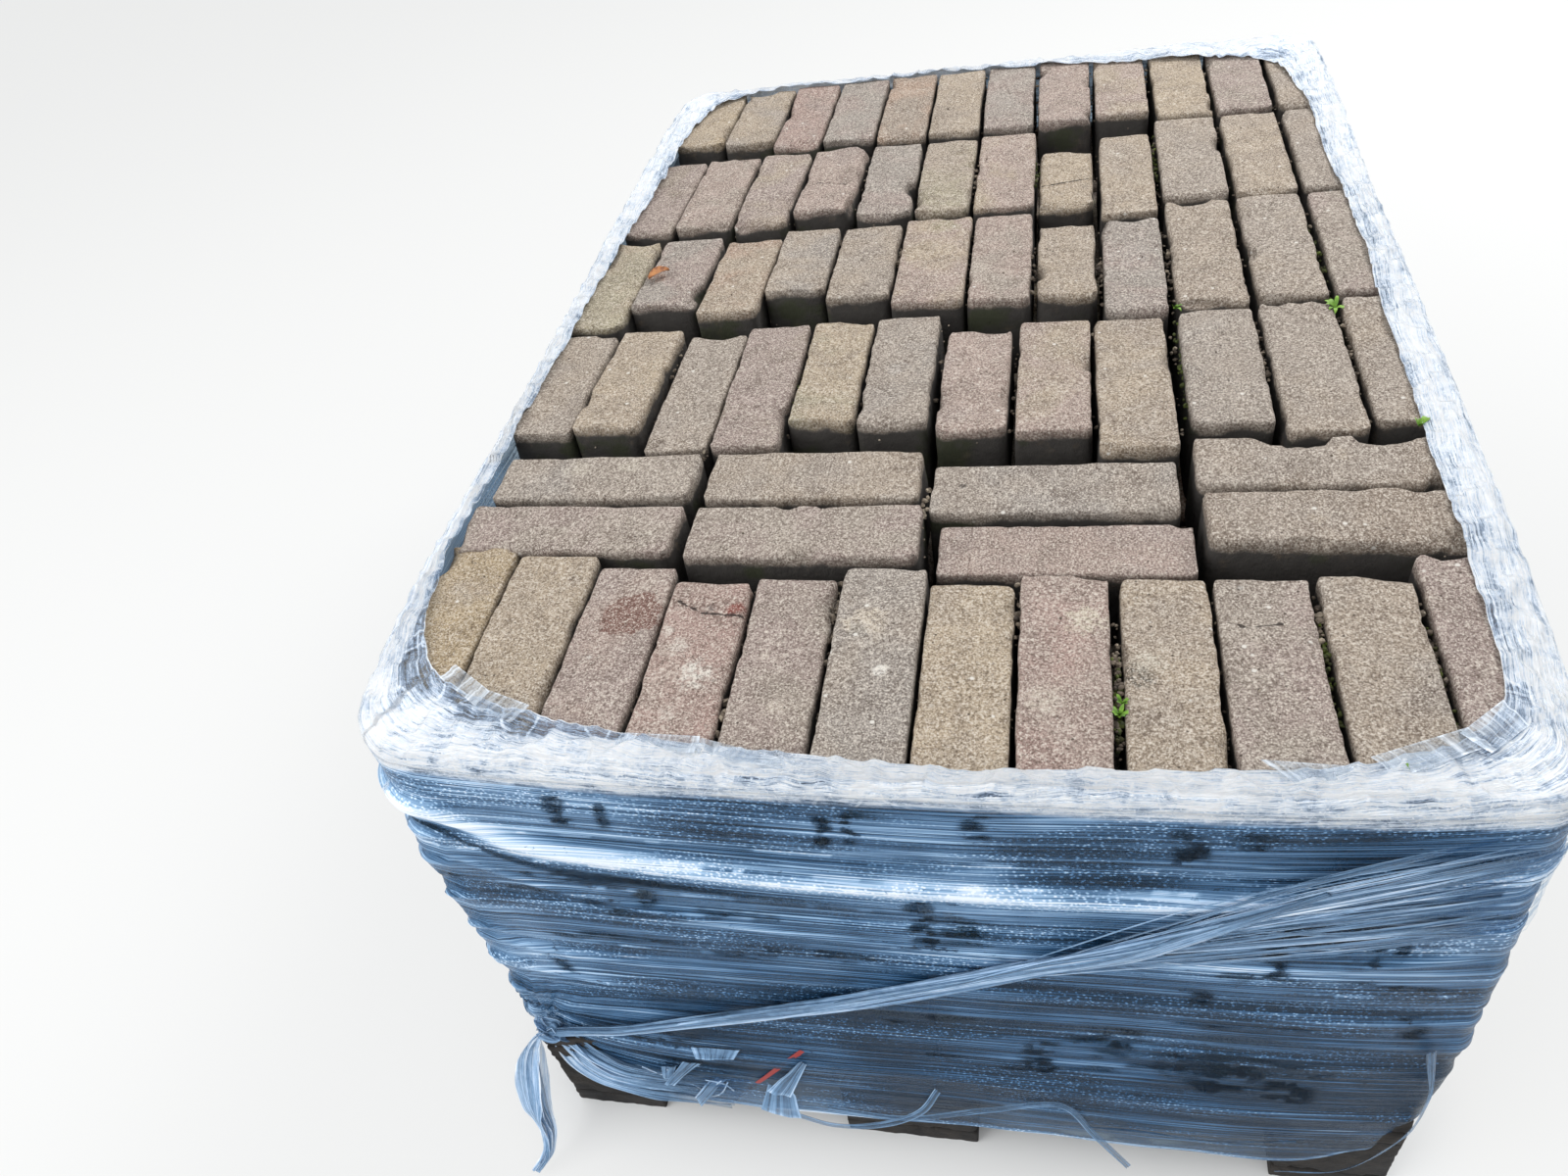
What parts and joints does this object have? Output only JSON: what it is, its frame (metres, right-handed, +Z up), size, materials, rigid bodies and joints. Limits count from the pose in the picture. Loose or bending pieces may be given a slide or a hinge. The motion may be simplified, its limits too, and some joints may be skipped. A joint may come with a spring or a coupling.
{
  "type": "pallet of bricks",
  "caption": "a wooden pallet of used paving bricks in layers, wrapped in clear stretch film that is folded in over the top edges",
  "frame": {"origin": "the middle of the pallet's underside, where the pallet rests", "axes": "+Z is up, +Y runs from the front of the load to its back along its longer side, +X is to the right seen from the front"},
  "size_m": [0.8188, 1.268, 0.5613],
  "materials": {
    "bricks": "matte",
    "pallet_wood": "matte",
    "film": "gloss"
  },
  "bodies": {
    "root": {"brick_layer_1": "bricks", "brick_layer_2": "bricks", "brick_layer_3": "bricks", "brick_layer_4": "bricks", "brick_layer_5": "bricks", "pallet_runner_left": "pallet_wood", "pallet_runner_middle": "pallet_wood", "pallet_runner_right": "pallet_wood", "pallet_block_front_left": "pallet_wood", "pallet_block_front_middle": "pallet_wood", "pallet_block_front_right": "pallet_wood", "pallet_block_centre_left": "pallet_wood", "pallet_block_centre_middle": "pallet_wood", "pallet_block_centre_right": "pallet_wood", "pallet_block_back_left": "pallet_wood", "pallet_block_back_middle": "pallet_wood", "pallet_block_back_right": "pallet_wood", "pallet_stringer_front": "pallet_wood", "pallet_stringer_centre": "pallet_wood", "pallet_stringer_back": "pallet_wood", "pallet_deck_board_1": "pallet_wood", "pallet_deck_board_2": "pallet_wood", "pallet_deck_board_3": "pallet_wood", "pallet_deck_board_4": "pallet_wood", "pallet_deck_board_5": "pallet_wood", "stretch_film": "film", "film_rope": "film", "film_tail": "film"}
  },
  "joints": []
}
